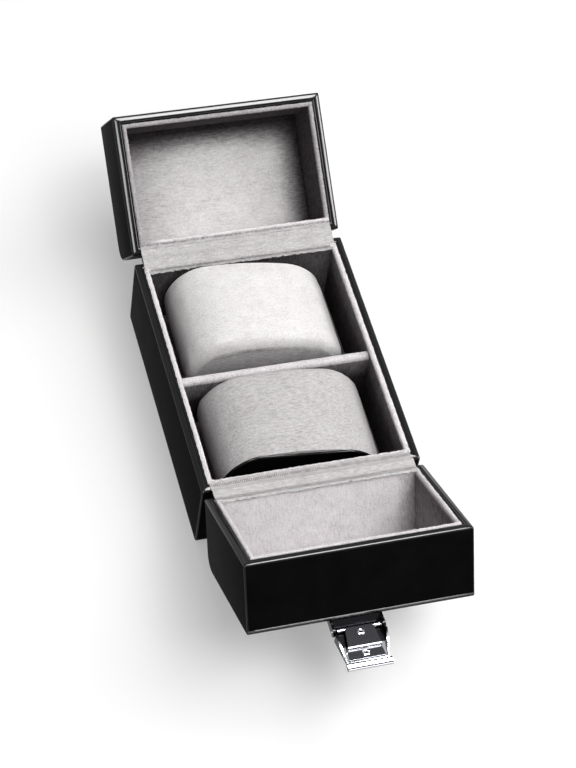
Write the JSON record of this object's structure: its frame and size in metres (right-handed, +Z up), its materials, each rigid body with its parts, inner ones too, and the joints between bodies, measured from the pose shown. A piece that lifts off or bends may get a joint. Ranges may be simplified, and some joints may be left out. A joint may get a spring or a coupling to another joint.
{
  "type": "watch travel case",
  "caption": "Black leather-look travel case for wristwatches, with hinged end lids that meet in the middle, a lever latch, velvet lining, a divider and oval cushions.",
  "frame": {"origin": "centre of the body's underside, on the surface that the case stands on", "axes": "+Z up; +Y along the case, from the front lid with the latch to the back lid; +X to the right when seen from the front lid"},
  "size_m": [0.11, 0.3365, 0.0864],
  "materials": {
    "leather": "satin",
    "velvet": "matte",
    "cushion_velvet": "matte",
    "foam": "matte",
    "board": "matte",
    "hinge_steel": "satin",
    "latch_chrome": "polished"
  },
  "bodies": {
    "case_body": {"base_cover": "leather", "base_board": "board", "body_left_board": "board", "body_right_board": "board", "body_back_board": "board", "body_front_board": "board", "body_leather": "leather", "body_wall_lining": "velvet", "body_floor_lining": "velvet", "divider_board": "board", "divider_velvet": "velvet", "back_body_hinge_leaf": "hinge_steel", "back_hinge_pin": "hinge_steel", "back_spine": "leather", "back_hinge_lining": "velvet", "front_body_hinge_leaf": "hinge_steel", "front_hinge_pin": "hinge_steel", "front_spine": "leather", "front_hinge_lining": "velvet"},
    "back_lid": {"back_lid_top_board": "board", "back_lid_left_board": "board", "back_lid_right_board": "board", "back_lid_meet_board": "board", "back_lid_hinge_board": "board", "back_lid_leather": "leather", "back_lid_wall_lining": "velvet", "back_lid_top_lining": "velvet", "back_lid_hinge_leaf": "hinge_steel", "catch_plate": "latch_chrome", "catch_rivets": "latch_chrome"},
    "front_lid": {"front_lid_top_board": "board", "front_lid_left_board": "board", "front_lid_right_board": "board", "front_lid_meet_board": "board", "front_lid_hinge_board": "board", "front_lid_leather": "leather", "front_lid_wall_lining": "velvet", "front_lid_top_lining": "velvet", "front_lid_hinge_leaf": "hinge_steel", "latch_base": "latch_chrome", "latch_base_rivets": "latch_chrome", "latch_pin": "latch_chrome"},
    "latch": {"latch_lever": "latch_chrome", "latch_tongue": "latch_chrome", "lever_rivets": "latch_chrome"},
    "back_cushion": {"back_cushion_foam": "foam", "back_cushion_wrap": "cushion_velvet", "back_cushion_velvet_end": "cushion_velvet", "back_cushion_leather_end": "leather", "back_cushion_piping": "leather"},
    "front_cushion": {"front_cushion_foam": "foam", "front_cushion_wrap": "cushion_velvet", "front_cushion_velvet_end": "cushion_velvet", "front_cushion_leather_end": "leather", "front_cushion_piping": "leather"}
  },
  "joints": [
    {"name": "back_lid_hinge", "type": "hinge", "parent": "case_body", "child": "back_lid", "pos_m": [0, 0.074, 0.0433], "axis": [-1, 0, 0], "range_deg": [-144, 0], "deforming": ["back_spine", "back_hinge_lining"]},
    {"name": "front_lid_hinge", "type": "hinge", "parent": "case_body", "child": "front_lid", "pos_m": [0, -0.074, 0.0433], "axis": [1, 0, 0], "range_deg": [-150, 0], "deforming": ["front_spine", "front_hinge_lining"]},
    {"name": "latch_pivot", "type": "hinge", "parent": "front_lid", "child": "latch", "pos_m": [-0.003, -0.16099, 0.04583], "axis": [1, 0, 0], "range_deg": [-29, 60]},
    {"name": "back_cushion_lift", "type": "slide", "parent": "case_body", "child": "back_cushion", "axis": [0, 0, 1], "range_m": [0, 0.06]},
    {"name": "front_cushion_lift", "type": "slide", "parent": "case_body", "child": "front_cushion", "axis": [0, 0, 1], "range_m": [0, 0.06]}
  ]
}
